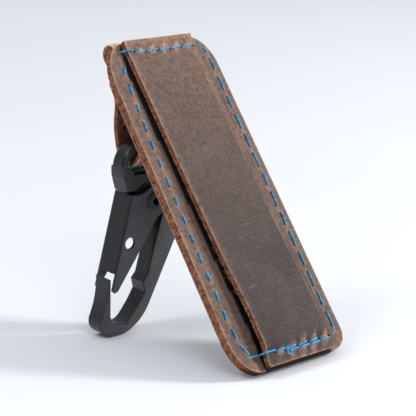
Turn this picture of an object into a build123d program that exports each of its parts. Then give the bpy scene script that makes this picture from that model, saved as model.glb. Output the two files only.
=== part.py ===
from build123d import *
from math import cos, radians, sin
import os

os.makedirs("parts", exist_ok=True)

# Belt hanger: two sewn leather leaves, a belt strap over the front, and a snap hook
# on a leather loop behind the head. It stands as an A-frame: the foot of the panel
# and the bowl of the hook are on the floor (z = 0). X runs across the panel, +Y from
# its front to its back, +Z up. The origin is the middle of the footprint.

# Driving dimensions, mm and degrees
foot_x = 3.353           # middle of the panel's foot, from the origin
foot_y = -33.545         # back edge of the panel's foot
lean = 53.7              # panel to the floor
panel_length = 115.5
left_foot = -22.8        # sides of the panel, at its foot and at its head
left_head = -22.4
right_foot = 22.84
right_head = 22.2
foot_r = (9.5, 6.0)      # corners of the panel, left and right
head_r = (9.0, 7.5)
leaf_t = 2.1             # one leather leaf
back_leaf_length = 104.4
tab_start = 106.0        # shoulders of the hanger's sewn end
strap_left = -13.8       # belt strap edges, across the panel
strap_right = 14.5
strap_t = 2.6
strap_end = 115.5        # the strap runs on past the head of the panel
hanger_w = 32.0          # leather of the hook's loop
ply_t = 1.8
fold_r = 3.6             # outer radius of the fold at the head
fold_b = 114.6           # fold centre, along the panel
fold_c = -1.2            # fold centre, out from the panel's back
fold_gap = 0.15
loop_r = 6.9             # outer radius of the loop under the hook's bar
loop_y = 59.5            # centre of the loop, from the panel's foot
loop_z = 63.3
thread_w = 0.7
slit_w = 0.9
stitch_l = 3.4

hook_lean = 2.0          # hook from the vertical, its head towards the panel
hook_x = -24.5           # lowest point of the bowl, from the middle of the panel
hook_y = 61.7            # middle of the hook's thickness at the floor
hook_z = -0.286
gate_w = 10.2            # across both flanges
gate_t = 0.9             # gate sheet
frame_t = 6.8
neck_t = 4.4
edge_r = 0.35
bar_t = 6.7              # the bar in the loop, front to back
bar_w = 3.2              # and across its bend
bar_round = 1.55
bar_bend = 7.2
bar_s = 24.5             # middle of the hook's head, across the hook
bar_h = 63.6             # bar centre, up the hook
cap_low = 48.9
shoulder = 57.2
slot_half = 17.3
slot_low = 56.3
rivet_s = 16.2           # gate pivot, across and up the hook
rivet_h = 44.9
rivet_r = 2.0
rivet_bore = 1.4
rivet_head_r = 3.3
rivet_head_t = 0.5
pin_gap = 0.04
hole_r = 1.95            # hole through both flanges of the gate
wire_r = 0.25

# Planes of the two halves of the A
along = Vector(0, cos(radians(lean)), sin(radians(lean)))
out = Vector(0, -sin(radians(lean)), cos(radians(lean)))
foot = Vector(foot_x, foot_y, 0)
face = Plane(origin=foot, x_dir=(1, 0, 0), z_dir=out)
side = Plane(origin=foot, x_dir=along, z_dir=(1, 0, 0))
rows = Plane(origin=foot, x_dir=(1, 0, 0), z_dir=along * -1)
upright = Plane(origin=foot, x_dir=(0, 1, 0), z_dir=(1, 0, 0))
hook_out = Vector(0, -cos(radians(hook_lean)), -sin(radians(hook_lean)))
hook_base = foot + Vector(hook_x, hook_y, hook_z)
hook = Plane(origin=hook_base, x_dir=(1, 0, 0), z_dir=hook_out)

# Stitches that show on the front: (middle, length, height of the leather they lie on)
left_x = -18.5
right_x = 19.9
foot_b = 4.4
head_b = 110.9
panel_t = 2 * leaf_t
strap_top = panel_t + strap_t
left_row = [(8.1 + 6.53 * k, stitch_l, panel_t) for k in range(16)]
right_row = [(9.9 + 7.25 * k, 4.8, panel_t) for k in range(14)]
head_row = [(-15.9, 2.6, panel_t)]
head_row += [(-9.5 + 5.0 * k, 4.3, strap_top) for k in range(5)]
head_row += [(16.9, 2.4, panel_t)]
foot_row = [(-15.9, 2.6, panel_t)]
foot_row += [(-11.2 + 4.65 * k, 3.8, strap_top) for k in range(6)]
foot_row += [(17.3, 2.6, panel_t)]


def save(part, name):
    """Name one piece and write its file."""
    part.label = name
    export_step(part, "parts/" + name + ".step")


def stitch_run(plane, stitches, first, last, width):
    """Running stitch in one plane: over the front, down each hole, along the back."""
    ends = [first]
    with BuildPart() as run:
        with BuildSketch(plane):
            for mid, length, height in stitches:
                with Locations((mid, height + width / 2)):
                    Rectangle(length + width, width)
                for hole in (mid - length / 2, mid + length / 2):
                    ends.append(hole)
                    with Locations((hole, height / 2)):
                        Rectangle(width, height + 2 * width)
            ends.append(last)
            for start, stop in zip(ends[0::2], ends[1::2]):
                with Locations(((start + stop) / 2, -width / 2)):
                    Rectangle(stop - start + width, width)
        extrude(amount=width / 2, both=True)
    return run.part


def all_stitches(width):
    """The thread all round the panel as one solid, of a given width."""
    runs = [
        stitch_run(side.offset(left_x), left_row, foot_b, head_b, width),
        stitch_run(side.offset(right_x), right_row, foot_b, head_b, width),
        stitch_run(rows.offset(-head_b), head_row, left_x, right_x, width),
        stitch_run(rows.offset(-foot_b), foot_row, left_x, right_x, width),
    ]
    with BuildPart() as whole:
        for run in runs:
            add(run)
    return whole.part


def outline_points(low, high):
    """Corners of the panel between two heights along it."""
    points = []
    for height, ends in ((low, (0, 1)), (high, (1, 0))):
        part = height / panel_length
        sides = (left_foot + (left_head - left_foot) * part, right_foot + (right_head - right_foot) * part)
        points += [(sides[end], height) for end in ends]
    return points


def round_corners(corners, radii):
    """Round a left and a right corner, each by its own radius."""
    for corner, radius in zip(corners.sort_by(Axis.X), radii):
        fillet(corner, radius)


slits = all_stitches(slit_w)

with BuildPart() as edge_thread:
    add(all_stitches(thread_w))
save(edge_thread.part, "edge_thread")

# Front leaf: the whole panel outline
with BuildPart() as front_leaf:
    with BuildSketch(face.offset(leaf_t)) as outline:
        with BuildLine():
            Polyline(*outline_points(0, panel_length), close=True)
        make_face()
        round_corners(outline.vertices().sort_by(Axis.Y)[:2], foot_r)
        round_corners(outline.vertices().sort_by(Axis.Y)[-2:], head_r)
    extrude(amount=leaf_t)
    add(slits, mode=Mode.SUBTRACT)
save(front_leaf.part, "front_leaf")

# Back leaf: stops short of the head
with BuildPart() as back_leaf:
    with BuildSketch(face) as outline:
        with BuildLine():
            Polyline(*outline_points(0, back_leaf_length), close=True)
        make_face()
        round_corners(outline.vertices().sort_by(Axis.Y)[:2], foot_r)
    extrude(amount=leaf_t)
    add(slits, mode=Mode.SUBTRACT)
save(back_leaf.part, "back_leaf")

# Sewn end of the hanger: fills the head behind the front leaf and rolls over the top
with BuildPart() as hanger_tab:
    with BuildSketch(face) as head:
        with BuildLine():
            Polyline(*outline_points(tab_start, panel_length), close=True)
        make_face()
        round_corners(head.vertices().sort_by(Axis.Y)[-2:], head_r)
        with Locations((0, (back_leaf_length + panel_length) / 2 + 0.1)):
            Rectangle(hanger_w, panel_length - back_leaf_length - 0.2)
    extrude(amount=leaf_t)
    with BuildSketch(side):
        with Locations((fold_b, fold_c)):
            Circle(fold_r)
        with Locations((panel_length - 10, 2 * leaf_t)):
            Rectangle(20, 2 * leaf_t, mode=Mode.SUBTRACT)
    extrude(amount=hanger_w / 2, both=True)
    add(slits, mode=Mode.SUBTRACT)
save(hanger_tab.part, "hanger_tab")

# Belt strap: flat where it is sewn, bowed off the panel between its ends
with BuildPart() as belt_strap:
    with BuildSketch(side.offset(strap_left)):
        with BuildLine():
            for level in (panel_t + 0.02, strap_top + 0.02):
                flat = Line((0.3, level), (6.2, level))
                bow = Spline(
                    flat @ 1,
                    (11.4, level + 1.4),
                    (20, level + 1.8),
                    (35, level + 1.5),
                    (55, level + 1.0),
                    (80, level + 0.6),
                    (107, level),
                    tangents=[(1, 0), (1, 0)],
                )
                Line(bow @ 1, (strap_end, level))
            Line((0.3, panel_t + 0.02), (0.3, strap_top + 0.02))
            Line((strap_end, panel_t + 0.02), (strap_end, strap_top + 0.02))
        make_face()
    extrude(amount=strap_right - strap_left)
    add(slits, mode=Mode.SUBTRACT)
save(belt_strap.part, "belt_strap")

# Hanger strap: both plies together at the fold, open round the hook's bar below
fold_y = fold_b * along.Y + fold_c * out.Y
fold_z = fold_b * along.Z + fold_c * out.Z
inner_r = loop_r - ply_t
with BuildPart() as hanger_strap:
    with BuildSketch(upright):
        with BuildLine():
            near = Spline(
                (66.7, 88.9),
                (63.9, 82.0),
                (61.0, 75.2),
                (56.4, 70.6),
                (53.2, 66.8),
                (loop_y - loop_r, loop_z),
                tangents=[(-0.2, -1), (0, -1)],
            )
            bottom = ThreePointArc(
                near @ 1,
                (loop_y, loop_z - loop_r),
                (loop_y + loop_r, loop_z),
            )
            far = Spline(
                bottom @ 1,
                (67.1, 67.3),
                (67.0, 71.0),
                (66.5, 76.0),
                (67.3, 80.6),
                (68.0, 83.8),
                (69.3, 86.8),
                (70.5, 88.5),
                tangents=[(0, 1), (0.7, 1)],
            )
            Line(far @ 1, near @ 0)
        make_face()
    extrude(amount=hanger_w / 2, both=True)
    with BuildSketch(upright):
        with BuildLine():
            cavity = ThreePointArc(
                (loop_y - inner_r, loop_z),
                (loop_y, loop_z - inner_r),
                (loop_y + inner_r, loop_z),
            )
            right = Spline(
                cavity @ 1,
                (65.3, 67.3),
                (65.2, 70.6),
                (64.3, 74.8),
                tangents=[(0, 1), (-0.3, 1)],
            )
            Spline(
                right @ 1,
                (61.2, 72.8),
                (57.5, 69.4),
                (55.0, 66.4),
                cavity @ 0,
                tangents=[(-1, -0.5), (0, -1)],
            )
        make_face()
    extrude(amount=hanger_w / 2 + 1, both=True, mode=Mode.SUBTRACT)
    with BuildSketch(upright):
        with Locations((fold_y, fold_z)):
            Circle(fold_r + fold_gap)
    extrude(amount=hanger_w / 2 + 1, both=True, mode=Mode.SUBTRACT)
save(hanger_strap.part, "hanger_strap")

# Hook frame: head with its slot, neck inside the gate, spine, bowl and nose
with BuildPart() as hook_frame:
    with BuildSketch(hook) as outline:
        with BuildLine():
            Polyline(
                (9.8, cap_low),
                (5.7, cap_low + 0.1),
                (4.3, 53.8),
                (4.2, 55.2),
                (4.2, shoulder),
                (44.8, shoulder),
                (44.8, 55.2),
                (44.5, 53.6),
                (41.5, 50.4),
                (37.4, 49.6),
                (34.6, 44.9),
                (15.6, 8.9),
            )
            bowl = TangentArc((15.6, 8.9), (7.0, 1.2), tangent=(-19, -36))
            bowl = TangentArc(bowl @ 1, (-2.4, 1.6), tangent=bowl % 1)
            bowl = TangentArc(bowl @ 1, (-4.5, 7.6), tangent=bowl % 1)
            bowl = TangentArc(bowl @ 1, (-1.9, 21.1), tangent=bowl % 1)
            Polyline((-1.9, 21.1), (-0.7, 20.4), (-0.7, 8.6))
            throat = TangentArc((-0.7, 8.6), (7.6, 5.3), tangent=(0, -1))
            throat = TangentArc(throat @ 1, (13.7, 13.6), tangent=throat % 1)
            Polyline(
                (13.7, 13.6),
                (12.9, 17.0),
                (14.7, 18.9),
                (17.0, 27.0),
                (19.6, 35.5),
                (23.0, 46.0),
                (22.4, 53.6),
                (16.2, 53.6),
                (14.0, 52.5),
                (9.8, cap_low),
            )
        make_face()
    extrude(amount=frame_t / 2, both=True)
    with BuildSketch(hook):
        with Locations((bar_s, slot_low + 2)):
            Rectangle(2 * slot_half, 4)
    extrude(amount=frame_t, both=True, mode=Mode.SUBTRACT)
    cheeks = hook_frame.faces().sort_by(Axis(hook_base, hook_out))
    fillet(cheeks[0].edges() + cheeks[-1].edges(), edge_r)
    for front in (-1, 1):
        with BuildSketch(hook.offset(front * frame_t / 2)):
            with Locations((bar_s, 55.1)):
                RectangleRounded(2 * slot_half - 2.4, 1.6, 0.4)
        extrude(amount=-1.4 * front, mode=Mode.SUBTRACT)
    with BuildSketch(hook) as neck:
        with BuildLine():
            Polyline(
                (9.9, 49.6),
                (10.5, 46.0),
                (10.5, 43.4),
                (12.4, 40.3),
                (16.0, 38.6),
                (19.8, 36.6),
                (23.6, 46.0),
                (23.4, 54.0),
                (16.0, 54.0),
                (14.0, 53.0),
                close=True,
            )
        make_face()
    extrude(amount=neck_t / 2, both=True)
    leg_s = bar_s - slot_half - bar_w / 2 + 0.1
    with BuildLine(hook):
        arch = FilletPolyline(
            (leg_s, 55.0),
            (leg_s, bar_h),
            (2 * bar_s - leg_s, bar_h),
            (2 * bar_s - leg_s, 55.0),
            radius=bar_bend,
        )
    with BuildSketch(Plane(origin=arch @ 0, x_dir=hook_out, z_dir=arch % 0)):
        RectangleRounded(bar_t, bar_w, bar_round)
    sweep(path=arch)
    with BuildSketch(hook):
        with Locations((rivet_s, rivet_h)):
            Circle(rivet_r + pin_gap)
    extrude(amount=frame_t, both=True, mode=Mode.SUBTRACT)
save(hook_frame.part, "hook_frame")

# Gate: folded sheet channel that straddles the neck and the tip of the nose
with BuildPart() as hook_gate:
    with BuildSketch(hook):
        with BuildLine():
            Polyline(
                (6.8, 48.0),
                (-1.4, 17.1),
                (-0.5, 16.2),
                (1.0, 16.7),
                (1.9, 18.1),
                (8.3, 26.7),
                (17.0, 39.3),
                (19.7, 40.6),
            )
            ThreePointArc((19.7, 40.6), (21.6, 44.9), (19.7, 49.0))
            Polyline((19.7, 49.0), (14.4, 49.9), (10.9, 48.1), (6.8, 48.0))
        make_face()
    extrude(amount=gate_w / 2, both=True)
    web_edges = hook_gate.edges().filter_by(lambda e: e.length > 30).sort_by(Axis.X)[:2]
    fillet(web_edges, 1.2)
    with BuildSketch(hook):
        with BuildLine():
            Polyline(
                (7.73, 60.0),
                (7.73, 48.0),
                (-0.47, 17.1),
                (-0.77, 10.0),
                (40.0, 10.0),
                (40.0, 60.0),
                close=True,
            )
        make_face()
        with Locations((0, 16.2)):
            Rectangle(12, 12.6)
    extrude(amount=gate_w / 2 - gate_t, both=True, mode=Mode.SUBTRACT)
    with BuildSketch(hook):
        with Locations((rivet_s, rivet_h)):
            Circle(rivet_r + pin_gap)
        with Locations((5.7, 32.2)):
            Circle(hole_r)
    extrude(amount=gate_w, both=True, mode=Mode.SUBTRACT)
save(hook_gate.part, "hook_gate")

# Rivet: hollow pin with a flat head on each cheek of the gate
with BuildPart() as gate_rivet:
    with BuildSketch(hook):
        with Locations((rivet_s, rivet_h)):
            Circle(rivet_r)
    extrude(amount=gate_w / 2 + pin_gap, both=True)
    for front in (-1, 1):
        with BuildSketch(hook.offset(front * (gate_w / 2 + pin_gap))):
            with Locations((rivet_s, rivet_h)):
                Circle(rivet_head_r)
        extrude(amount=rivet_head_t * front)
    with BuildSketch(hook):
        with Locations((rivet_s, rivet_h)):
            Circle(rivet_bore)
    extrude(amount=gate_w, both=True, mode=Mode.SUBTRACT)
    chamfer(gate_rivet.edges().filter_by(GeomType.CIRCLE).sort_by(Axis.Y)[:1], 0.3)
save(gate_rivet.part, "gate_rivet")

# Gate spring: coil round the rivet behind the neck, one leg on the gate's web
coil_r = rivet_r + 0.35 + wire_r
coil_h = 1.26
leg_l = 8.2
coil_n = -gate_w / 2 + gate_t + wire_r + 0.05
coil_base = hook.from_local_coords(Vector(rivet_s, rivet_h, coil_n))
coil = Plane(origin=coil_base, x_dir=(1, 0, 0), z_dir=hook_out)
turns = coil.from_local_coords(Edge.make_helix(coil_h / 2.25, coil_h, coil_r))
with BuildPart() as gate_spring:
    with BuildSketch(Plane(origin=turns @ 0, z_dir=turns % 0)):
        Circle(wire_r)
    sweep(path=turns)
    with BuildSketch(Plane(origin=turns @ 1, z_dir=turns % 1)):
        Circle(wire_r)
    extrude(amount=leg_l)
save(gate_spring.part, "gate_spring")
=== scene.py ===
import math
import random

import bmesh
import bpy
import numpy as np
from mathutils import Matrix, Vector, noise


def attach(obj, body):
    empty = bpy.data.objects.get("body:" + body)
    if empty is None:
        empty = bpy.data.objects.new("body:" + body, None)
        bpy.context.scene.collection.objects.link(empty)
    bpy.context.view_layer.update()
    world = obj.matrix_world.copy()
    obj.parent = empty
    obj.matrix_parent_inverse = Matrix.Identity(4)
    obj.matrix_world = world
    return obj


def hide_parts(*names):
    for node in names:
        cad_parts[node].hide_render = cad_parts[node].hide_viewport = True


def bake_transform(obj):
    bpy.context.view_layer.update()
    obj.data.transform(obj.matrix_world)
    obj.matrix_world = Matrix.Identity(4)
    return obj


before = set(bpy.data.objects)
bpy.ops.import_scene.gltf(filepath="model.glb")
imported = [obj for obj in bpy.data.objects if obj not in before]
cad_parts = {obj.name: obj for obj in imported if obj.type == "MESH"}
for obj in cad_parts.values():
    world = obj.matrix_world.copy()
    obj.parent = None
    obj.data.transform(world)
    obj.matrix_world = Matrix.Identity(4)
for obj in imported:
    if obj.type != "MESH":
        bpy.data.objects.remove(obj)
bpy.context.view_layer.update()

MM = 0.001
LEAN = math.radians(53.7)
CL, SL = math.cos(LEAN), math.sin(LEAN)
FOOT_X, FOOT_Y = 3.353, -33.545

# The panel's sizes in millimetres, as in the part
LEAF_T = 2.1
PANEL_T = 2 * LEAF_T
LENGTH = 115.7
BACK_TOP = 104.4
STRAP_T, STRAP_START, STRAP_END = 2.6, 0.35, 115.5
FOOT_B, HEAD_B = 4.4, 110.9
# The strap has a line creased this far in from its right edge; the leaf has a rubbed one as far beyond it
CREASE = 1.7

rng = random.Random(7)


def panel(x, b, c):
    """A point on the panel: x across, b up along it, c out of its front; millimetres in, metres out."""
    return Vector((FOOT_X + x, FOOT_Y + b * CL - c * SL, b * SL + c * CL)) * MM


def upright(x, y, z):
    """A point by its distance behind the panel's foot and its height."""
    return Vector((FOOT_X + x, FOOT_Y + y, z)) * MM


def strap_left(b):
    """The strap's left edge is drawn in a little where it bows."""
    return -13.3 - 0.0096 * b + 0.75 * math.exp(-((b - 17.0) / 14.0) ** 2)


def strap_right(b):
    """The strap's right edge."""
    return 15.2 - 0.0113 * b


def left_line(b):
    """Where the left row of stitches runs; it follows the rounded corners."""
    return -19.8 + 0.012 * b + 0.0011 * max(0.0, b - 70.0) ** 2 + 0.009 * max(0.0, 20.0 - b) ** 2


def right_line(b):
    """Where the right row of stitches runs."""
    return 20.4 - 0.007 * b


def wobble(x, y, z=0.0, size=1.0, seed=0.0):
    """Smooth noise between -1 and 1, with features of the given size."""
    return noise.noise(Vector((x / size + seed, y / size - seed, z / size + 2 * seed)))


# ---------------------------------------------------------------- materials

class Nodes:
    """A short way to write a material's node tree."""

    def __init__(self, name):
        """A new material with a Principled surface."""
        self.mat = bpy.data.materials.new(name)
        self.mat.use_nodes = True
        self.tree = self.mat.node_tree
        self.bsdf = self.tree.nodes["Principled BSDF"]

    def add(self, kind, inputs=None, **props):
        """A new node, with its properties and inputs set."""
        node = self.tree.nodes.new(kind)
        for key, value in props.items():
            setattr(node, key, value)
        for key, value in (inputs or {}).items():
            self.put(node.inputs[key], value)
        return node

    def put(self, socket, value):
        """Link an output to a socket, or set the socket's own value."""
        if isinstance(value, bpy.types.NodeSocket):
            self.tree.links.new(value, socket)
        else:
            socket.default_value = value

    def coords(self, scale=(1, 1, 1)):
        """The place in space, in metres, times a scale."""
        co = self.add("ShaderNodeNewGeometry").outputs["Position"]
        return self.add("ShaderNodeVectorMath", {0: co, 1: scale}, operation="MULTIPLY").outputs[0]

    def noise(self, scale, detail=4.0, rough=0.55, vector=None, distortion=0.0):
        inputs = {"Scale": scale, "Detail": detail, "Roughness": rough, "Distortion": distortion}
        inputs["Vector"] = vector or self.coords()
        return self.add("ShaderNodeTexNoise", inputs).outputs["Fac"]

    def ramp(self, fac, *stops):
        node = self.add("ShaderNodeValToRGB", {"Fac": fac})
        elements = node.color_ramp.elements
        while len(elements) < len(stops):
            elements.new(0.5)
        for element, (pos, col) in zip(elements, stops):
            element.position = pos
            element.color = (*col, 1)
        return node.outputs["Color"]

    def scaled(self, value, low, high, to_low, to_high):
        """A number taken from one range to another and kept inside it."""
        inputs = {"Value": value, 1: low, 2: high, 3: to_low, 4: to_high}
        return self.add("ShaderNodeMapRange", inputs).outputs[0]

    def maths(self, op, a, b=0.0):
        return self.add("ShaderNodeMath", {0: a, 1: b}, operation=op, use_clamp=False).outputs[0]

    def mix(self, fac, a, b, blend="MIX"):
        node = self.add("ShaderNodeMix", {"Factor": fac}, data_type="RGBA", blend_type=blend)
        self.put(node.inputs[6], a if not isinstance(a, tuple) else (*a, 1))
        self.put(node.inputs[7], b if not isinstance(b, tuple) else (*b, 1))
        return node.outputs[2]

    def clamped(self, value):
        return self.add("ShaderNodeClamp", {0: value}).outputs[0]

    def blended(self, a, b):
        """Half of each of two numbers."""
        return self.maths("ADD", self.maths("MULTIPLY", a, 0.5), self.maths("MULTIPLY", b, 0.5))

    def dim(self, colour, level):
        """A colour darkened or lightened by a number."""
        grey = self.add("ShaderNodeCombineColor", {0: level, 1: level, 2: level}).outputs[0]
        return self.mix(1.0, colour, grey, "MULTIPLY")

    def dot(self, a, b):
        return self.add("ShaderNodeVectorMath", {0: a, 1: b}, operation="DOT_PRODUCT").outputs["Value"]

    def wear_and_painted_light(self):
        """How rubbed the leather is at this point: 0 not at all, 1 a lot, below 0 painted shade; some of the
        pale values are painted light.
        """
        return self.add("ShaderNodeAttribute", attribute_name="wear_and_painted_light").outputs["Fac"]

    def bump(self, height, strength, distance, normal=None):
        inputs = {"Height": height, "Strength": strength, "Distance": distance}
        if normal is not None:
            inputs["Normal"] = normal
        return self.add("ShaderNodeBump", inputs).outputs["Normal"]


def grain_leather(name, dark, mid, light, worn):
    """Waxed pull-up leather: mottled, with fine pores, faint scratches, pale rubbed places, and painted
    shade where the attribute is below 0.
    """
    m = Nodes(name)
    cloud = m.noise(55, 3, 0.6, distortion=0.4)
    mottle = m.noise(300, 5, 0.72)
    patches = m.noise(700, 6, 0.75)
    wear_and_painted_light = m.wear_and_painted_light()
    base = m.ramp(m.blended(cloud, mottle), (0.36, dark), (0.5, mid), (0.64, light))
    base = m.dim(base, m.scaled(m.noise(1500, 3, 0.7), 0.38, 0.62, 0.66, 1.28))
    rubbed = m.maths("MULTIPLY", wear_and_painted_light, m.scaled(patches, 0.36, 0.6, 0.25, 1.35))
    speckle = m.scaled(m.noise(900, 4, 0.8), 0.60, 0.72, 0.0, 0.33)
    base = m.mix(m.clamped(m.maths("ADD", rubbed, speckle)), base, worn)
    # Where the wear passes 0.85 the leather is paler still
    hard = m.scaled(wear_and_painted_light, 0.85, 1.7, 0.0, 1.0)
    hard = m.maths("MULTIPLY", hard, m.scaled(patches, 0.3, 0.62, 0.3, 1.0))
    base = m.mix(hard, base, tuple(min(0.8, c * 1.9) for c in worn))
    scratch = m.noise(1.0, 2, 0.5, m.coords((160, 900, 900)), 0.6)
    base = m.mix(m.scaled(scratch, 0.70, 0.76, 0.0, 0.3), base, worn)
    # Painted shade: below 0 the colour is darkened, down to 0.06 of itself at -1
    base = m.dim(base, m.scaled(wear_and_painted_light, -1.0, -0.05, 0.06, 1.0))
    m.put(m.bsdf.inputs["Base Color"], base)
    m.put(m.bsdf.inputs["Roughness"], m.scaled(mottle, 0.3, 0.7, 0.5, 0.72))
    m.bsdf.inputs["Specular IOR Level"].default_value = 0.2
    cells = m.add("ShaderNodeTexVoronoi", {"Vector": m.coords(), "Scale": 1300.0, "Randomness": 1.0})
    pores = cells.outputs["Distance"]
    normal = m.bump(m.scaled(pores, 0.0, 0.6, 0.0, 1.0), 0.35, 0.00008)
    normal = m.bump(m.noise(420, 6, 0.7), 0.5, 0.00022, normal)
    m.put(m.bsdf.inputs["Normal"], normal)
    return m.mat


def cut_leather(name, dark, mid, light):
    """The raw fibres of a cut edge or of the flesh side."""
    m = Nodes(name)
    fibres = m.noise(1.0, 6, 0.75, m.coords((1000, 700, 1900)), 0.8)
    tufts = m.noise(650, 5, 0.75)
    base = m.ramp(m.blended(fibres, tufts), (0.42, dark), (0.5, mid), (0.58, light))
    # Painted shade: darkened to a tenth close to the ground, where the contact shadow falls
    height = m.add("ShaderNodeSeparateXYZ", {0: m.coords()}).outputs[2]
    base = m.dim(base, m.scaled(height, 0.0022, 0.0052, 0.1, 1.0))
    base = m.mix(m.clamped(m.maths("MULTIPLY", m.wear_and_painted_light(), 0.85)), base, (0.34, 0.19, 0.115))
    m.put(m.bsdf.inputs["Base Color"], base)
    m.put(m.bsdf.inputs["Roughness"], m.scaled(tufts, 0.3, 0.7, 0.8, 0.95))
    m.bsdf.inputs["Specular IOR Level"].default_value = 0.15
    m.bsdf.inputs["Sheen Weight"].default_value = 0.03
    normal = m.bump(fibres, 0.8, 0.0004)
    normal = m.bump(tufts, 0.7, 0.0005, normal)
    m.put(m.bsdf.inputs["Normal"], normal)
    return m.mat


def waxed_thread():
    """Bright blue waxed thread: fine fibres along the ply and slightly uneven dye."""
    m = Nodes("waxed_blue_thread")
    dye = m.noise(900, 3, 0.6)
    deep, mid, light = (0.0, 0.12, 0.28), (0.002, 0.29, 0.56), (0.015, 0.46, 0.76)
    m.put(m.bsdf.inputs["Base Color"], m.ramp(dye, (0.35, deep), (0.52, mid), (0.68, light)))
    m.put(m.bsdf.inputs["Roughness"], m.scaled(dye, 0.3, 0.7, 0.42, 0.6))
    m.bsdf.inputs["Specular IOR Level"].default_value = 0.5
    m.bsdf.inputs["Sheen Weight"].default_value = 0.2
    m.put(m.bsdf.inputs["Normal"], m.bump(m.noise(5200, 3, 0.6), 0.6, 0.00006))
    return m.mat


def black_paint(name, tone, rough_low, rough_high, pits, gloss):
    """Satin black coating: fine texture, dust, bare glints where sharp edges rub, and painted light on the
    faces turned toward the panel.
    """
    m = Nodes(name)
    cloud = m.noise(120, 4, 0.6)
    fine = m.noise(1800, 3, 0.6)
    shade = m.scaled(cloud, 0.3, 0.7, tone * 0.85, tone * 1.15)
    flat = m.add("ShaderNodeNewGeometry").outputs["Normal"]
    # Painted light: the cheeks, which face the panel, are painted up to 5.2 times lighter than the thin
    # sides, as if more light fell on them
    painted_light_side = m.dot(flat, (0.3, -0.95, 0.0))
    shade = m.maths("MULTIPLY", shade, m.scaled(painted_light_side, 0.2, 0.9, 1.0, 5.2))
    bluish = m.maths("MULTIPLY", shade, 1.05)
    base = m.add("ShaderNodeCombineColor", {0: shade, 1: shade, 2: bluish}).outputs[0]
    rounded = m.add("ShaderNodeBevel", {"Radius": 0.00035}, samples=6).outputs["Normal"]
    edge = m.scaled(m.dot(rounded, flat), 0.97, 0.86, 0.0, 1.0)
    rub = m.maths("MULTIPLY", edge, m.scaled(m.noise(500, 4, 0.7), 0.45, 0.62, 0.0, 0.55))
    dust = m.scaled(m.noise(2600, 2, 0.6), 0.72, 0.78, 0.0, 0.12)
    base = m.mix(m.clamped(m.maths("ADD", rub, dust)), base, (0.16, 0.16, 0.165))
    m.put(m.bsdf.inputs["Base Color"], base)
    m.put(m.bsdf.inputs["Roughness"], m.scaled(fine, 0.3, 0.7, rough_low, rough_high))
    m.bsdf.inputs["Specular IOR Level"].default_value = gloss
    normal = m.bump(fine, pits, 0.00004, rounded)
    normal = m.bump(m.noise(260, 3, 0.5), 0.12, 0.0002, normal)
    m.put(m.bsdf.inputs["Normal"], normal)
    return m.mat


def spring_wire():
    """Plain drawn wire, lightly marked round its length."""
    m = Nodes("spring_wire")
    marks = m.noise(1.0, 3, 0.6, m.coords((2500, 2500, 900)))
    m.put(m.bsdf.inputs["Base Color"], m.ramp(marks, (0.3, (0.2, 0.2, 0.2)), (0.7, (0.42, 0.42, 0.43))))
    m.bsdf.inputs["Metallic"].default_value = 1.0
    m.put(m.bsdf.inputs["Roughness"], m.scaled(marks, 0.3, 0.7, 0.25, 0.45))
    m.put(m.bsdf.inputs["Normal"], m.bump(marks, 0.3, 0.00003))
    return m.mat


GRAIN = grain_leather(
    "brown_leather", (0.038, 0.027, 0.025), (0.058, 0.041, 0.037), (0.088, 0.062, 0.055),
    worn=(0.36, 0.205, 0.138))
# The hanger's leather: its bright worn colours also carry the painted highlight on top of the fold
WARM = grain_leather(
    "bent_leather", (0.15, 0.07, 0.042), (0.27, 0.135, 0.082), (0.42, 0.225, 0.14),
    worn=(0.72, 0.44, 0.28))
CUT = cut_leather("cut_leather", (0.07, 0.024, 0.014), (0.25, 0.095, 0.052), (0.46, 0.22, 0.13))
THREAD = waxed_thread()
# Painted shade: near-black leather that stands for the shadow inside the stitch holes
HOLE_SHADE = cut_leather("hole_shade_leather", (0.008, 0.005, 0.004), (0.02, 0.012, 0.009), (0.04, 0.024, 0.017))


# ------------------------------------------------------------------ meshes

def make(name, verts, faces, materials, face_materials=None, wear_and_painted_light=None, body="panel"):
    """A smooth mesh object from lists, riding on a body if one is named."""
    mesh = bpy.data.meshes.new(name)
    mesh.from_pydata([tuple(v) for v in verts], [], faces)
    for mat in materials:
        mesh.materials.append(mat)
    if face_materials is not None:
        mesh.polygons.foreach_set("material_index", face_materials)
    if wear_and_painted_light is not None:
        layer = mesh.attributes.new("wear_and_painted_light", "FLOAT", "POINT")
        layer.data.foreach_set("value", np.asarray(wear_and_painted_light, np.float32))
    mesh.polygons.foreach_set("use_smooth", [True] * len(mesh.polygons))
    mesh.update()
    obj = bpy.data.objects.new(name, mesh)
    bpy.context.scene.collection.objects.link(obj)
    bm = bmesh.new()
    bm.from_mesh(mesh)
    bmesh.ops.recalc_face_normals(bm, faces=bm.faces)
    bm.to_mesh(mesh)
    bm.free()
    if body:
        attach(obj, body)
    return obj


def spaced(low, high, step, near):
    """Stations from low to high, closer together within a few tenths of each end."""
    inner = np.arange(low + near[-1] + step, high - near[-1] - step * 0.5, step)
    ends = [low + d for d in near] + list(inner) + [high - d for d in reversed(near)]
    return np.array(ends)


def rounding(radius, d):
    """How far a face drops at a distance d in from an edge of this radius."""
    return radius - math.sqrt(max(radius ** 2 - max(radius - d, 0.0) ** 2, 0.0))


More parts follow.
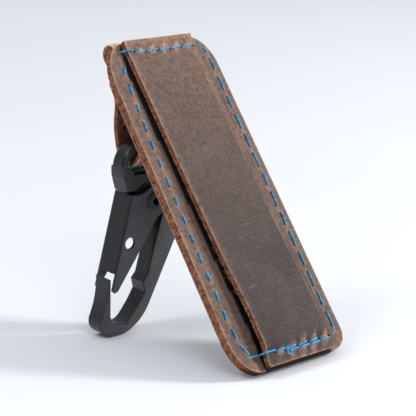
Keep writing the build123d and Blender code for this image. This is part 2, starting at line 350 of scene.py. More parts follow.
def slab(
        name, rows, left, right, inside, place, low, high,
        round_low, round_high, rough, wear_and_painted_light, materials, ring=7):
    """A piece of flat leather.

    rows are stations along it; left and right give its sides at a station; inside(x, b) is the distance in
    from its outline; place(x, b, c) puts a point in space; low and high are its back and front faces.
    The cut edge between them has its own material and torn fibres of height rough, in so many rings.
    """
    near = (0.0, 0.05, 0.14, 0.28, 0.48, 0.75)
    halfway = rows[len(rows) // 2]
    width = right(halfway) - left(halfway)
    us = spaced(0.0, width, 0.62, near) / width
    n_b, n_x = len(rows), len(us)
    verts, shade = [], []
    for side, radius in ((1, round_high), (-1, round_low)):
        for b in rows:
            for u in us:
                x = left(b) + (right(b) - left(b)) * u
                d = max(inside(x, b), 0.0)
                c = high(x, b) - rounding(radius, d) if side > 0 else low(x, b) + rounding(radius, d)
                verts.append(place(x, b, c))
                shade.append(wear_and_painted_light(x, b, d) if side > 0 else 0.15)
    faces, kinds = [], []
    count = n_b * n_x
    for i in range(n_b - 1):
        for j in range(n_x - 1):
            a = i * n_x + j
            faces.append((a, a + 1, a + n_x + 1, a + n_x))
            kinds.append(0)
            a += count
            faces.append((a, a + n_x, a + n_x + 1, a + 1))
            kinds.append(1)
    loop = [(i, 0) for i in range(n_b)] + [(n_b - 1, j) for j in range(1, n_x)]
    loop += [(i, n_x - 1) for i in range(n_b - 2, -1, -1)] + [(0, j) for j in range(n_x - 2, 0, -1)]
    top = [i * n_x + j for i, j in loop]
    rings = [top]
    middle = Vector((0.0, 0.0, 0.0))
    for v in verts[:count]:
        middle += v / count
    for k in range(1, ring):
        f = k / ring
        this = []
        for t, (i, j) in zip(top, loop):
            a, z = verts[t], verts[t + count]
            p = a.lerp(z, f)
            x = left(rows[i]) + (right(rows[i]) - left(rows[i])) * us[j]
            out = Vector((1.0 if j == n_x - 1 else -1.0 if j == 0 else 0.0, 0.0, 0.0))
            if i in (0, n_b - 1):
                out += (place(x, 1.0, 0.0) - place(x, 0.0, 0.0)).normalized() * (1 if i else -1)
            out.normalize()
            layer = high(x, rows[i]) - f * (high(x, rows[i]) - low(x, rows[i]))
            push = 0.6 * wobble(x * 1.3, rows[i] * 0.8, layer * 2.2, 1.0, 3.7)
            push += 0.5 * wobble(x, rows[i], layer, 0.45, 9.1)
            p = p + out * (rough * (push - 0.35) * math.sin(math.pi * f)) * MM
            this.append(len(verts))
            verts.append(p)
            shade.append(0.0)
        rings.append(this)
    rings.append([t + count for t in top])
    for one, two in zip(rings, rings[1:]):
        for k in range(len(one)):
            n = (k + 1) % len(one)
            faces.append((one[k], two[k], two[n], one[n]))
            kinds.append(1)
    return make(name, verts, faces, materials, kinds, shade)


# Stitches on the front: (middle, length), up the sides and across the ends
STRAP_TOP = PANEL_T + STRAP_T
LEFT = [(7.3 + 6.5 * k + 0.0053 * k * k, 3.2 - (-1) ** k * (-0.7 if k > 11 else 0.2)) for k in range(1, 16)]
RIGHT = [(9.9 + 7.25 * k, 5.0 + 0.3 * (-1) ** k) for k in range(14)]
HEAD = [(-9.5 + 5.0 * k, 4.5) for k in range(5)]
FOOT = [(-6.6 + 4.75 * k, 4.1) for k in range(5)]


def ends_of(row, place):
    """The two holes of every stitch of a row."""
    return [place(m + side * length / 2) for m, length in row for side in (-1, 1)]


LEAF_HOLES = ends_of(LEFT, lambda b: (left_line(b), b)) + ends_of(RIGHT, lambda b: (right_line(b), b))
HEAD_HOLES = ends_of(HEAD, lambda x: (x, HEAD_B)) + [(-12.8, HEAD_B + 0.5)]
FOOT_HOLES = ends_of(FOOT, lambda x: (x, FOOT_B)) + [(-9.4, FOOT_B)]


def band(off, width):
    """A soft stripe: 1 in its middle, fading over its width."""
    return math.exp(-(off / width) ** 2)


def hollow(x, b, holes, depth, spread):
    """How far the thread pulls the leather in at a point."""
    total = 0.0
    for hx, hb in holes:
        r2 = (x - hx) ** 2 + (b - hb) ** 2
        if r2 < 9 * spread ** 2:
            total += depth * math.exp(-r2 / spread ** 2)
    return min(total, 1.6 * depth)


def marks(x, b, holes, size):
    """Pale rings of pulled leather round the stitch holes, 0 to 1."""
    best = 0.0
    for hx, hb in holes:
        r = math.hypot(x - hx, b - hb) / size
        if r < 1:
            best = max(best, (1 - r) ** 1.5)
    return best


def peaks(x, b, holes, row, half, above, below):
    """Ragged pale folds on both sides of a row of stitches, one at each gap between them."""
    best = 0.0
    inner = sorted(h[0] for h in holes)
    for k, (p, q) in enumerate(zip(inner[1::2], inner[2::2])):
        reach = 1 + 0.4 * math.sin(5.1 * k + row) + 0.3 * wobble(x, k, 0, 0.8, 3.3)
        reach *= above if b > row else below
        d = abs(b - row)
        if d < reach:
            w = half * (1 - 0.75 * d / reach) * (1 + 0.5 * wobble(x, b, k, 1.1, 7.7))
            off = x - (p + q) / 2 - 0.45 * (b - row) - 0.5 * wobble(b, k, 0, 1.6, 2.1)
            fade = (1 - d / reach) ** 0.6 * (0.65 + 0.6 * wobble(x, b, 0, 0.9, 5.5))
            across = 1 - (off / max(w, 0.05)) ** 2
            best = max(best, max(0.0, across) * max(fade, 0.0))
    return min(best, 1.0)


# Corners of a leaf: (side, end, extent across, extent along)
CORNERS = ((-1, 0, 9.0, 12.5), (1, 0, 6.0, 6.0), (-1, 1, 8.5, 14.5), (1, 1, 8.8, 11.5))


def straight_side(side, b):
    """A leaf's side without its rounded corners."""
    return -22.75 + 0.0035 * b if side < 0 else 23.5 - 0.0095 * b


def leaf_sides(top):
    """Left, right and inside functions of a leaf whose head is at top.

    Only a full-length leaf has a round head.
    """
    full = top == LENGTH

    def corners(side, b):
        """The rounded corners that this station of a side runs through, and how far it is from their end."""
        for hand, end, across, up in CORNERS:
            d = top - b if end else b
            if hand == side and d < up and (full or not end):
                yield across, up, d

    def edge(side, b):
        x = straight_side(side, b)
        for across, up, d in corners(side, b):
            t = 1 - max(d, 0.0) / up
            x -= side * across * (1 - math.sqrt(max(1 - t * t, 0.0)))
        return x

    def inside(x, b):
        side = -1 if x < 0 else 1
        from_side = side * (straight_side(side, b) - x)
        best = min(from_side, b, top - b)
        for across, up, d in corners(side, b):
            if from_side < across:
                u, v = 1 - from_side / across, 1 - d / up
                size = (across * u + up * v) / max(u + v, 0.01)
                best = min(best, (1 - math.hypot(u, v)) * size)
        return best

    return lambda b: edge(-1, b), lambda b: edge(1, b), inside


def leaf_rows(top, round_head):
    """Stations that follow the rounded corners and then run evenly."""
    step = 0.62
    turns = (0, 4, 8, 12, 16, 20, 25, 30, 36, 42, 49, 56, 64, 72, 81, 90)
    foot = [12.6 * (1 - math.cos(math.radians(a))) for a in turns]
    head = [top - d for d in (0.75, 0.45, 0.25, 0.1, 0.0)]
    if round_head:
        head = [top - d for d in reversed(foot)]
    return np.array(foot + list(np.arange(foot[-1] + step, head[0] - 0.4, step)) + head)


def front_wear(x, b, d):
    """Wear of the front leaf: pale where rubbed, below zero for the painted shadow beside the strap, and
    paler towards the head as painted light.
    """
    # Painted shadow: a band along the strap's left edge, and the leaf under the strap's foot end, are set
    # below zero and come out nearly black
    into = x - strap_left(b)
    reach = 0.2 + 0.016 * b * min(1.0, max(0.0, (115.0 - b) / 9.0))
    if -reach < into < 4.0 or (into > 0 and x < strap_right(b) and b < 3):
        return -1.0
    # Painted light: the 0.0010 * b term makes the leaf a little paler towards its head
    w = 0.9 * max(0.0, 1 - d / 0.5) + 0.2 * max(0.0, 1 - d / 2.2) + 0.2 + 0.0010 * b
    w += 0.55 * marks(x, b, LEAF_HOLES, 1.3)
    w += 0.5 * band(x - left_line(b) - 0.3, 0.75) * max(0.0, 0.45 + 0.9 * wobble(x, b, 0, 2.6, 1.3))
    w += 0.5 * band(x - right_line(b), 0.8) * (0.5 + 0.7 * wobble(x, b, 0, 3, 5.3))
    w += 0.65 * band(x - strap_right(b) - CREASE, 0.26) * (0.8 + 0.5 * wobble(x, b, 0, 9, 2.9))
    w += 0.2 * max(0.0, wobble(x, b, 0, 9, 4.4))
    return w


def back_wear(x, b, d):
    """Wear of the back leaf: pale edges and stitch holes."""
    w = 0.85 * max(0.0, 1 - d / 0.6) + 0.25 * max(0.0, 1 - d / 2.5)
    w += 0.7 * marks(x, b, LEAF_HOLES, 1.4) + 0.25 * max(0.0, wobble(x, b, 0, 12, 6.1))
    return w


def smooth_bow():
    """How far the belt strap stands off the leaf, along its length: stations and lifts."""
    places = (0.0, 2.0, 4.4, 6.5, 8.5, 12.0, 22.0, 40.0, 64.0, 93.0, 106.0, 118.0)
    lifts = (0.03, 0.10, 0.40, 0.95, 1.30, 1.55, 1.5, 0.95, 0.52, 0.22, 0.03, 0.02)
    stations = np.arange(0, 118.5, 0.5)
    bent = np.interp(stations, places, lifts)
    for _ in range(10):
        bent[1:-1] = 0.25 * bent[:-2] + 0.5 * bent[1:-1] + 0.25 * bent[2:]
    return stations, bent


STATIONS, BOW = smooth_bow()


def bow(b, x=0.0):
    """The strap's lift; its left edge curls up above the last stitches."""
    leftward = max(0.0, min(1.0, (-x - 5.0) / 9.0))
    curl = 0.75 * band(b - 6.8, 3.4) * leftward ** 1.5
    return float(np.interp(b, STATIONS, BOW)) + curl


def strap_face(x, b):
    """Height of the strap's front face."""
    crease = 0.14 * band(x - strap_right(b) + CREASE, 0.35)
    pulled = hollow(x, b, HEAD_HOLES, 0.4, 0.8) + hollow(x, b, FOOT_HOLES, 0.45, 0.9)
    groove = 0.22 * (band(b - HEAD_B, 0.9) + band(b - FOOT_B, 1.1))
    folds = peaks(x, b, HEAD_HOLES, HEAD_B, 1.2, 2.6, 2.0) + peaks(x, b, FOOT_HOLES, FOOT_B, 1.5, 2.4, 4.2)
    flat = STRAP_TOP - 0.05 + bow(b, x) + 0.07 * wobble(x, b, 0, 10, 3.1)
    return flat - crease - pulled - groove + 0.12 * folds


def strap_wear(x, b, d):
    """Wear of the belt strap: pale edges, folds at the stitches, a creased line near its right side, and
    painted light that pales it towards the head.
    """
    # Painted light: the 0.0042 * (b - 12) term makes the strap paler towards its head, where more light
    # falls
    w = 0.95 * max(0.0, 1 - d / 0.5) + 0.2 * max(0.0, 1 - d / 1.8) + 0.0042 * max(0.0, b - 12.0) - 0.1
    w += 0.4 * marks(x, b, HEAD_HOLES, 1.0) + 0.4 * marks(x, b, FOOT_HOLES, 1.1)
    w += 1.3 * peaks(x, b, HEAD_HOLES, HEAD_B, 2.2, 2.4, 1.8)
    w += 1.4 * peaks(x, b, FOOT_HOLES, FOOT_B, 2.5, 2.4, 4.2)
    w += 0.45 * band(x - strap_right(b) + CREASE, 0.3) * (0.7 + 0.6 * wobble(x, b, 0, 6, 2.2))
    w += 0.3 * max(0.0, (b - 110.5) / 5.0) + 0.12 * max(0.0, 1 - b / 3.5)
    return w


def leaf_wave(x, b):
    """A leaf's face is never quite flat."""
    return 0.05 * wobble(x, b, 0, 14, 1.7)


def build_leaves():
    """The front leaf, the hanger's sewn end behind its head, and the shorter back leaf."""
    left, right, inside = leaf_sides(LENGTH)
    front = slab(
        "front_leaf_leather", leaf_rows(LENGTH, True), left, right, inside, panel,
        lambda x, b: LEAF_T + 0.02,
        lambda x, b: PANEL_T - 0.06 + leaf_wave(x, b) - hollow(x, b, LEAF_HOLES, 0.32, 0.75),
        0.35, 0.55, 0.35, front_wear, [GRAIN, CUT])
    build_sewn_end(left, right, inside)
    left, right, inside = leaf_sides(BACK_TOP)
    back = slab(
        "back_leaf_leather", leaf_rows(BACK_TOP, False),
        lambda b: left(b) + 0.7 * max(0.0, (b - 90.0) / (BACK_TOP - 90.0)) ** 2, right, inside,
        lambda x, b, c: panel(x, b, LEAF_T - c),
        lambda x, b: 0.02,
        lambda x, b: LEAF_T - 0.06 + leaf_wave(x + 40, b) - hollow(x, b, LEAF_HOLES, 0.28, 0.7),
        0.3, 0.55, 0.35, back_wear, [GRAIN, CUT])
    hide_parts("front_leaf")
    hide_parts("back_leaf")


def build_sewn_end(left, right, inside):
    """The wide end of the hanger, sewn in behind the head of the front leaf."""
    low, high = BACK_TOP + 0.2, 114.9
    end = slab(
        "sewn_end_leather", spaced(low, high, 0.6, (0.0, 0.08, 0.2, 0.4)),
        lambda b: left(b) + 0.8, right, lambda x, b: min(inside(x, b), b - low, high - b), panel,
        lambda x, b: 0.12, lambda x, b: LEAF_T - 0.06, 0.35, 0.2, 0.35,
        lambda x, b, d: 0.0, [CUT, CUT])


def build_strap():
    """The belt strap, bowed off the front leaf between its two sewn ends."""
    rows = spaced(STRAP_START, STRAP_END, 0.55, (0.0, 0.06, 0.16, 0.32, 0.55))
    strap = slab(
        "belt_strap_leather", rows, strap_left, strap_right,
        lambda x, b: min(x - strap_left(b), strap_right(b) - x, b - STRAP_START, STRAP_END - b), panel,
        lambda x, b: PANEL_T + 0.04 + bow(b, x), strap_face, 0.3, 0.45, 0.6, strap_wear, [GRAIN, CUT],
        ring=9)
    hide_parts("belt_strap")


# --------------------------------------------------- the folded hanger strip

def spline(points, step):
    """Evenly spaced points along a smooth curve through the given ones."""
    pts = [Vector(p) for p in points]
    pts = [2 * pts[0] - pts[1]] + pts + [2 * pts[-1] - pts[-2]]
    dense = []
    for k in range(1, len(pts) - 2):
        p0, p1, p2, p3 = pts[k - 1:k + 3]
        slope = p2 - p0
        curve = 2 * p0 - 5 * p1 + 4 * p2 - p3
        cubic = 3 * p1 - p0 - 3 * p2 + p3
        for i in range(20):
            t = i / 20
            dense.append(0.5 * (2 * p1 + slope * t + curve * t * t + cubic * t ** 3))
    dense.append(pts[-2])
    run = [0.0]
    for a, b in zip(dense, dense[1:]):
        run.append(run[-1] + (b - a).length)
    out = []
    for s in np.arange(0, run[-1], step):
        k = max(i for i in range(len(run)) if run[i] <= s)
        k = min(k, len(dense) - 2)
        span = max(run[k + 1] - run[k], 1e-9)
        out.append(dense[k].lerp(dense[k + 1], (s - run[k]) / span))
    out.append(dense[-1])
    return out


# The middle of the fold over the head, and the radius of the strip's middle round it
FOLD_B, FOLD_C, FOLD_R = 114.6, -1.2, 2.7
HANGER_STEP = 0.5


def across_panel(b, c):
    """Distance behind the panel's foot, and height, of a point of the panel."""
    return b * CL - c * SL, b * SL + c * CL


def hanger_path():
    """The strip's middle line, from its sewn end to the end of its second ply."""
    path = [across_panel(b, c) for b, c in ((105.2, 1.03), (109.0, 1.03), (112.6, 1.08))]
    for a in (20, 50, 80, 110, 140, 170, 195):
        r = math.radians(a)
        path.append(across_panel(FOLD_B + FOLD_R * math.sin(r), FOLD_C + FOLD_R * math.cos(r)))
    path += [(68.6, 87.2), (67.15, 84.1), (66.4, 80.7), (65.6, 76.0), (66.1, 71.0), (66.1, 67.0)]
    bar_y, bar_z, loop_r = 59.5, 63.3, 6.0
    for a in range(0, 181, 30):
        r = math.radians(a)
        path.append((bar_y + loop_r * math.cos(r), bar_z - loop_r * math.sin(r)))
    path += [(54.2, 66.6), (57.2, 70.2), (61.2, 74.0), (63.2, 77.8), (64.75, 82.0), (66.1, 86.0)]
    path.append((67.0, 88.2))
    return spline([(0.0, y, z) for y, z in path], HANGER_STEP)


def hanger_section(half_w):
    """Points round the strip's section: (across, through), where the grain is at 1 and the flesh at -1."""
    xs = list(spaced(-half_w, half_w, 0.9, (0.0, 0.08, 0.2, 0.38, 0.7)))
    through = (0.75, 0.5, 0.25, 0.0, -0.25, -0.5, -0.75)
    section = [(x, 1) for x in xs] + [(half_w, f) for f in through]
    return section + [(x, -1) for x in reversed(xs)] + [(-half_w, -f) for f in through]


def hanger_wear(x, s, d, f):
    """Wear of the strip: on the grain side, its edges and above all the fold, whose pale band is partly a
    painted highlight.
    """
    if f == 1:
        # Pale band on the fold: partly the pull-up paling of bent leather, partly a painted highlight on the
        # fold's top
        fold = 1.6 * band(s - 12.8, 4.2) * (0.75 + 0.5 * wobble(x, s, 0, 3, 1.1))
        return 0.85 * max(0.0, 1 - d / 0.6) + fold + 0.2 * max(0.0, wobble(x, s, 0, 8, 4.2))
    return 0.3 * max(0.0, 1 - d / 0.6) if f == -1 else 0.0


def build_hanger():
    """One strip: sewn under the head, over the fold, down, round the hook's bar and back up."""
    line = hanger_path()
    half_w, half_t, bevel = 15.9, 0.9, 0.38
    section = hanger_section(half_w)
    verts, shade, kinds, faces = [], [], [], []
    total, size = len(line), len(section)
    for k, p in enumerate(line):
        t = (line[min(k + 1, total - 1)] - line[max(k - 1, 0)]).normalized()
        n = Vector((0.0, -t.z, t.y))
        s = k * HANGER_STEP
        for x, f in section:
            d = half_w - abs(x)
            h = (half_t - bevel) * f
            torn = 0.22 * (wobble(s, f, x, 0.9, 2.9) - 0.3) * (1 - f * f)
            if abs(f) == 1:
                h = (half_t - rounding(bevel, d)) * f
            here = p + n * (h + 0.07 * wobble(x, s, f, 6, 7.7))
            verts.append(upright(x + math.copysign(torn, x), here.y, here.z))
            shade.append(hanger_wear(x, s, d, f))
    for k in range(total - 1):
        for j in range(size):
            n = (j + 1) % size
            faces.append((k * size + j, k * size + n, (k + 1) * size + n, (k + 1) * size + j))
            kinds.append(0 if section[j][1] == 1 and section[n][1] == 1 else 1)
    for k in (0, total - 1):
        ring = range(k * size, (k + 1) * size)
        centre = len(verts)
        middle = Vector((0.0, 0.0, 0.0))
        for i in ring:
            middle += verts[i] / size
        verts.append(middle)
        shade.append(0.0)
        for j in range(size):
            faces.append((ring[(j + 1) % size], centre, ring[j]))
            kinds.append(1)
    add_fold_core(verts, faces)
    shade += [0.0] * (len(verts) - len(shade))
    kinds += [1] * (len(faces) - len(kinds))
    strip = make("hanger_leather", verts, faces, [WARM, CUT], kinds, shade, body=None)
    panel(0, FOLD_B, 0.6)
    panel(0, FOLD_B, -3.4)
    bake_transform(strip)
    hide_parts("hanger_tab", "hanger_strap")


def add_fold_core(verts, faces):
    """The core of the fold, where the strip's two ends are packed together."""
    start, sides = len(verts), 20
    y, z = across_panel(FOLD_B, FOLD_C)
    for x, r in ((-15.75, 1.6), (-15.5, 1.85), (15.5, 1.85), (15.75, 1.6)):
        for a in range(sides):
            t = math.radians(18 * a)
            rr = r * (1 + 0.06 * wobble(x, 3 * math.cos(t), 3 * math.sin(t), 1, 0.3))
            verts.append(upright(x, y + rr * math.cos(t), z + rr * math.sin(t)))
    for i in range(3):
        one = start + sides * i
        for a in range(sides):
            n = (a + 1) % sides
            faces.append((one + a, one + n, one + sides + n, one + sides + a))
    for i in (0, 3):
        faces.append(tuple(start + sides * i + a for a in range(sides)))


# ----------------------------------------------------------------- stitching

def twist(points, radius, turn, step):
    """Rings of a two-ply twisted thread along a path, as vertices and faces."""
    line = spline(points, step)
    verts, faces = [], []
    n = 14
    normal = None
    run = 0.0
    for k, p in enumerate(line):
        t = (line[min(k + 1, len(line) - 1)] - line[max(k - 1, 0)]).normalized()
        if normal is None:
            normal = t.orthogonal().normalized()
        normal = (normal - t * normal.dot(t)).normalized()
        side = t.cross(normal)
        run += (p - line[k - 1]).length if k else 0.0
        phase = 2 * math.pi * run / turn
        taper = 0.86 if k in (0, len(line) - 1) else 1.0
        for i in range(n):
            a = 2 * math.pi * i / n
            r = radius * taper * (0.8 + 0.24 * abs(math.cos(a - phase)))
            verts.append(p + (normal * math.cos(a) + side * math.sin(a)) * r)
    for k in range(len(line) - 1):
        for i in range(n):
            j = (i + 1) % n
            faces.append((k * n + i, k * n + j, (k + 1) * n + j, (k + 1) * n + i))
    faces.append(tuple(range(n - 1, -1, -1)))
    faces.append(tuple((len(line) - 1) * n + i for i in range(n)))
    return verts, faces


def thread_piece(name, runs, radius=0.32):
    """One object of several lengths of thread, each given by its points on the panel."""
    verts, faces = [], []
    for points in runs:
        v, f = twist([Vector(p) for p in points], radius, 1.5, 0.12)
        base = len(verts)
        verts += [panel(*p) for p in v]
        faces += [tuple(base + i for i in face) for face in f]
    return make(name, verts, faces, [THREAD])


def stitch(x0, b0, x1, b1, face0, face1, lift=0.16):
    """The points of one stitch that comes up at one hole and goes down at the next."""
    dx, db = x1 - x0, b1 - b0
    span = math.hypot(dx, db)
    bend, depth = 0.3, 0.95
    ux, ub = dx / span * bend, db / span * bend
    low0, low1 = face0 - depth, face1 - depth
    mid0, mid1 = face0 * 0.7 + face1 * 0.3, face0 * 0.3 + face1 * 0.7
    return [
        (x0, b0, low0), (x0, b0, face0 - bend), (x0 + ux, b0 + ub, face0 + lift * 0.6),
        (x0 + dx * 0.3, b0 + db * 0.3, mid0 + lift), (x0 + dx * 0.7, b0 + db * 0.7, mid1 + lift),
        (x1 - ux, b1 - ub, face1 + lift * 0.6), (x1, b1, face1 - bend), (x1, b1, low1)]


def jitter(size):
    """A random amount either way."""
    return rng.uniform(-size, size)


def build_stitches():
    """The blue seam: up both sides on both faces, and across the strap's two ends."""
    side, back = [], []
    for row, place in ((LEFT, left_line), (RIGHT, right_line)):
        for k, (middle, length) in enumerate(row):
            lean = 0.1 + jitter(0.08)
            b0, b1 = middle - length / 2, middle + length / 2
            side.append(stitch(place(b0) - lean, b0, place(b1) + lean, b1, PANEL_T, PANEL_T))
            if k:
                start = row[k - 1][0] + row[k - 1][1] / 2
                pts = stitch(place(start), start, place(b0), b0, 0.0, 0.0)
                back.append([(x, b, -c if i not in (0, 7) else 0.8) for i, (x, b, c) in enumerate(pts)])
    # One stitch cuts each corner
    side.append(stitch(-18.9, 10.0, -17.2, 6.3, PANEL_T, PANEL_T))
    side.append(stitch(20.5, 6.0, 18.5, 5.0, PANEL_T, PANEL_T))
    side.append(stitch(19.8, 108.7, 18.9, 110.7, PANEL_T, PANEL_T))
    side.append(stitch(18.6, 111.8, 16.3, 111.6, PANEL_T, PANEL_T))
    ends = strap_stitches() + steps_and_knot()
    pieces = [
        thread_piece("side_stitches", side), thread_piece("end_stitches", ends),
        thread_piece("back_stitches", back, 0.27)]
    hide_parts("edge_thread")


def strap_stitches():
    """The two rows that lie on the strap, the lower one doubled."""
    ends = []

    def across(x0, b0, x1, b1):
        """A stitch that lies on the strap, following its dents."""
        pts = stitch(x0, b0, x1, b1, strap_face(x0, b0), strap_face(x1, b1))
        pressed = [(x, b, max(c, strap_face(x, b) + 0.2)) for x, b, c in pts[2:6]]
        ends.append(pts[:2] + pressed + pts[6:])

    for middle, length in HEAD:
        across(middle - length / 2, HEAD_B - 0.35, middle + length / 2, HEAD_B + 0.3)
    for k, (middle, length) in enumerate(FOOT):
        x0, x1 = middle - length / 2, middle + length / 2
        if k == 0:
            across(x0, FOOT_B - 0.1, x1, FOOT_B + 0.3)
        elif k < 4:
            across(x0, FOOT_B - 0.15, x1, FOOT_B + 0.3)
            across(x0 + 0.3, FOOT_B - 1.2, x1 + 0.3, FOOT_B - 0.75)
        else:
            across(x0 + 0.2, FOOT_B - 1.0, x1, FOOT_B - 0.65)
    return ends


def steps_and_knot():
    """Where the end rows step from the leaf up on to the strap, and the knot that ends the seam."""
    x, b = -12.8, HEAD_B + 0.5
    runs = [
        stitch(-16.2, 112.3, x, b, PANEL_T, strap_face(x, b) + 0.15, 1.1),
        stitch(-17.2, 5.4, -14.1, 5.3, PANEL_T, PANEL_T)]
    top = strap_face(-11.5, FOOT_B) + 0.25
    runs.append([
        (-13.6, 5.1, PANEL_T - 0.8), (-13.6, 5.1, PANEL_T + 0.2), (-13.65, 5.0, top - 1.2),
        (-13.35, 4.9, top - 0.1), (-12.6, 4.8, top + 0.1), (-11.0, 4.8, top + 0.1),
        (-9.6, 4.8, top), (-9.35, 4.8, top - 0.3), (-9.35, 4.8, top - 1.1)])
    x, b = FOOT[0][0] + 2.6, FOOT_B - 0.1
    top = strap_face(x, b)
    runs.append([
        (x + 0.42 * math.cos(0.7 * i), b + 0.36 * math.sin(0.7 * i), top + 0.3 + 0.03 * i)
        for i in range(19)])
    # Two cut tails, and the last stitch under the knot
    tails = (
        ((0.2, 0.0, 0.8), (0.5, 0.7, 0.65), (1.1, 1.3, 0.45), (2.0, 1.7, 0.4)),
        ((0.0, -0.2, 0.7), (-0.2, -0.9, 0.5), (-0.3, -1.6, 0.4), (-0.35, -2.0, 0.35)),
        ((-0.3, -2.0, 0.4), (0.9, -1.6, 0.45), (2.2, -1.0, 0.4), (3.0, -0.7, -0.1)))
    for tail in tails:
        runs.append([(x + dx, b + db, top + dc) for dx, db, dc in tail])
    return runs


def build_holes():
    """Pricked slits, one at each stitch end, just proud of the leather, dark with painted shade for the
    inside of each hole.
    """
    verts, faces, sides = [], [], 14
    spots = [(x, b, PANEL_T - 0.36, 0.25) for x, b in LEAF_HOLES]
    spots += [(x, b + 0.35, strap_face(x, b + 0.35) + 0.1, 0.75) for x, b in HEAD_HOLES + FOOT_HOLES]
    for x, b, c, turn in spots:
        turn += jitter(0.12)
        wide, long = (0.3, 0.95) if turn > 0.5 else (0.2, 0.5)
        ring = []
        for i in range(sides):
            a = 2 * math.pi * i / sides
            u, v = wide * math.cos(a), long * math.sin(a)
            ring.append((u * math.cos(turn) - v * math.sin(turn), u * math.sin(turn) + v * math.cos(turn)))
        base = len(verts)
        verts += [panel(x + dx, b + db, c) for dx, db in ring]
        verts += [panel(x + dx * 0.6, b + db * 0.6, c - 0.35) for dx, db in ring]
        for i in range(sides):
            j = (i + 1) % sides
            faces.append((base + i, base + j, base + sides + j, base + sides + i))
        faces.append(tuple(base + sides + i for i in range(sides)))
        faces.append(tuple(base + sides - 1 - i for i in range(sides)))
    slits = make("awl_slits", verts, faces, [HOLE_SHADE])


def build_fibres():
    """Loose fibres standing from the cut edges."""
    verts, faces = [], []
    parts, sides = 5, 5

    def hair(root, out, length, thick):
        line = [root]
        heading = out.normalized()
        for _ in range(parts):
            heading = (heading + Vector((jitter(0.45), jitter(0.45), jitter(0.45)))).normalized()
            line.append(line[-1] + heading * length / parts)
        base = len(verts)
        for k, p in enumerate(line):
            r = thick * (1 - 0.75 * k / parts)
            t = heading.orthogonal().normalized()
            s = heading.cross(t)
            for i in range(sides):
                a = 2 * math.pi * i / sides
                verts.append(panel(*(p + (t * math.cos(a) + s * math.sin(a)) * r)))
        for k in range(parts):
            low = base + sides * k
            for i in range(sides):
                j = (i + 1) % sides
                faces.append((low + i, low + j, low + sides + j, low + sides + i))

    for _ in range(230):
        b = rng.uniform(2, 114)
        root = Vector((strap_left(b) + 0.1, b, PANEL_T + bow(b) + rng.uniform(0.15, STRAP_T * 0.75)))
        out = Vector((-1, jitter(0.7), jitter(0.7)))
        hair(root, out, rng.uniform(0.3, 0.95), rng.uniform(0.03, 0.06))
    for _ in range(70):
        b = rng.uniform(2, 114)
        root = Vector((strap_right(b) - 0.1, b, PANEL_T + bow(b) + rng.uniform(0.15, STRAP_T * 0.8)))
        out = Vector((1, jitter(0.7), jitter(0.5)))
        hair(root, out, rng.uniform(0.2, 0.7), rng.uniform(0.03, 0.05))
    for _ in range(170):
        b = rng.uniform(7, 109)
        root = Vector((straight_side(-1, b) + 0.15, b, rng.uniform(0.3, 3.8)))
        out = Vector((-1, jitter(0.7), jitter(0.6)))
        hair(root, out, rng.uniform(0.2, 0.6), rng.uniform(0.03, 0.05))
    # A few torn tufts near the foot of the strap, where it was cut by hand
    for at in (26.0, 30.5, 33.0, 36.5, 41.0):
        for _ in range(14):
            b = at + jitter(0.9)
            root = Vector((strap_left(b) + 0.1, b, PANEL_T + bow(b) + rng.uniform(0.05, 1.1)))
            out = Vector((-1, jitter(0.9), -0.5 + jitter(0.6)))
            hair(root, out, rng.uniform(0.5, 1.3), rng.uniform(0.05, 0.1))
    fibres = make("loose_fibres", verts, faces, [CUT], wear_and_painted_light=[0.35] * len(verts))


build_leaves()
build_strap()
build_hanger()
build_stitches()
build_holes()
build_fibres()

# The metal keeps its own shape and gets its finish
metal = {
    "hook_frame": black_paint("hook_coating", 0.012, 0.2, 0.3, 0.2, 0.42),
    "hook_gate": black_paint("gate_coating", 0.018, 0.26, 0.36, 0.25, 0.28),
    "gate_rivet": black_paint("rivet_coating", 0.009, 0.2, 0.3, 0.2, 0.4),
    "gate_spring": spring_wire(),
}
for name, mat in metal.items():
    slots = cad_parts[name].data.materials
    slots.clear()
    slots.append(mat)


# --------------------------------------------------------- floor, light, camera

def floor():
    """A pale sweep: flat under the object, rising softly far behind it, and painted paler away from the
    middle.
    """
    verts, faces = [], []
    ys = [-1.5] + [0.9 + 0.05 * i for i in range(25)]
    for y in ys:
        z = 0.0 if y < 1.0 else 0.9 * (y - 1.0) ** 2
        for x in (-3.0, 3.0):
            verts.append((x, y, z))
    for i in range(len(ys) - 1):
        faces.append((2 * i, 2 * i + 1, 2 * i + 3, 2 * i + 2))
    m = Nodes("pale_paper")
    near = m.ramp(m.noise(4, 2, 0.5), (0.3, (0.82, 0.83, 0.86)), (0.7, (0.84, 0.845, 0.87)))
    # Painted light: the paper is paler further from the middle, making up for the light the far sweep lacks
    away = m.add("ShaderNodeVectorMath", {0: m.coords()}, operation="LENGTH").outputs["Value"]
    far = m.scaled(away, 0.25, 0.85, 0.0, 1.0)
    m.put(m.bsdf.inputs["Base Color"], m.mix(far, near, (0.965, 0.965, 0.97)))
    m.bsdf.inputs["Roughness"].default_value = 0.9
    m.bsdf.inputs["Specular IOR Level"].default_value = 0.1
    mesh = bpy.data.meshes.new("floor")
    mesh.from_pydata(verts, [], faces)
    mesh.materials.append(m.mat)
    mesh.polygons.foreach_set("use_smooth", [True] * len(mesh.polygons))
    obj = bpy.data.objects.new("floor", mesh)
    bpy.context.scene.collection.objects.link(obj)


def area(name, place, target, size, energy, colour):
    """A square soft light at a place, aimed at a target."""
    light = bpy.data.lights.new(name, "AREA")
    light.shape = "RECTANGLE"
    light.size, light.size_y = size, size
    light.energy = energy
    light.color = colour
    obj = bpy.data.objects.new(name, light)
    obj.location = place
    obj.rotation_euler = (Vector(target) - Vector(place)).to_track_quat("-Z", "Y").to_euler()
    bpy.context.scene.collection.objects.link(obj)


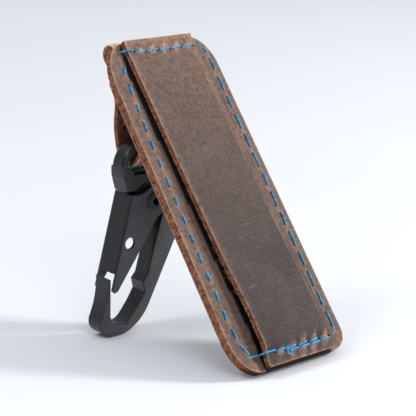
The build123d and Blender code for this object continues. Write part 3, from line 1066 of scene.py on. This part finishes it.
def studio_sky():
    """Soft light from overhead and a little from the right, dark round the sides."""
    world = bpy.data.worlds.new("studio")
    world.use_nodes = True
    tree = world.node_tree
    sky = tree.nodes["Background"]
    facing = tree.nodes.new("ShaderNodeTexCoord").outputs["Generated"]
    level = []
    for direction, gain in (((0.0, 0.0, 1.0), 0.84), ((0.746, -0.666, 0.0), 0.25)):
        dot = tree.nodes.new("ShaderNodeVectorMath")
        dot.operation = "DOT_PRODUCT"
        dot.inputs[1].default_value = direction
        tree.links.new(facing, dot.inputs[0])
        spread = tree.nodes.new("ShaderNodeMapRange")
        spread.inputs[4].default_value = gain
        tree.links.new(dot.outputs["Value"], spread.inputs[0])
        level.append(spread.outputs[0])
    total = tree.nodes.new("ShaderNodeMath")
    tree.links.new(level[0], total.inputs[0])
    tree.links.new(level[1], total.inputs[1])
    lift = tree.nodes.new("ShaderNodeMath")
    lift.inputs[1].default_value = 0.04
    tree.links.new(total.outputs[0], lift.inputs[0])
    tree.links.new(lift.outputs[0], sky.inputs[1])
    sky.inputs[0].default_value = (0.86, 0.92, 1.0, 1)
    bpy.context.scene.world = world


floor()
area("key_right", (0.747, -0.558, 0.583), (0.0, 0.0, 0.04), 0.2, 8.0, (1.0, 0.99, 0.96))
area("front_fill", (-0.34, -0.77, 0.71), (0.0, 0.0, 0.04), 0.5, 2.4, (1.0, 1.0, 1.0))
area("top_soft", (-0.42, 0.22, 0.66), (0.0, 0.0, 0.05), 0.24, 1.2, (1.0, 0.98, 0.96))
studio_sky()
bpy.context.scene.view_settings.view_transform = "Standard"

camera_data = bpy.data.cameras.new("camera")
camera_data.lens = 136.24
camera_data.sensor_width = 36.0
camera_data.clip_start = 0.01
camera = bpy.data.objects.new("camera", camera_data)
yaw, pitch, roll = math.radians(41.78), math.radians(14.2), math.radians(0.05)
camera.location = (-0.32633, -0.36414, 0.16896)
turn = Matrix.Rotation(-yaw, 4, "Z")
tilt = Matrix.Rotation(math.pi / 2 - pitch, 4, "X")
camera.rotation_euler = (turn @ tilt @ Matrix.Rotation(roll, 4, "Z")).to_euler()
bpy.context.scene.collection.objects.link(camera)
bpy.context.scene.camera = camera

bpy.context.view_layer.update()
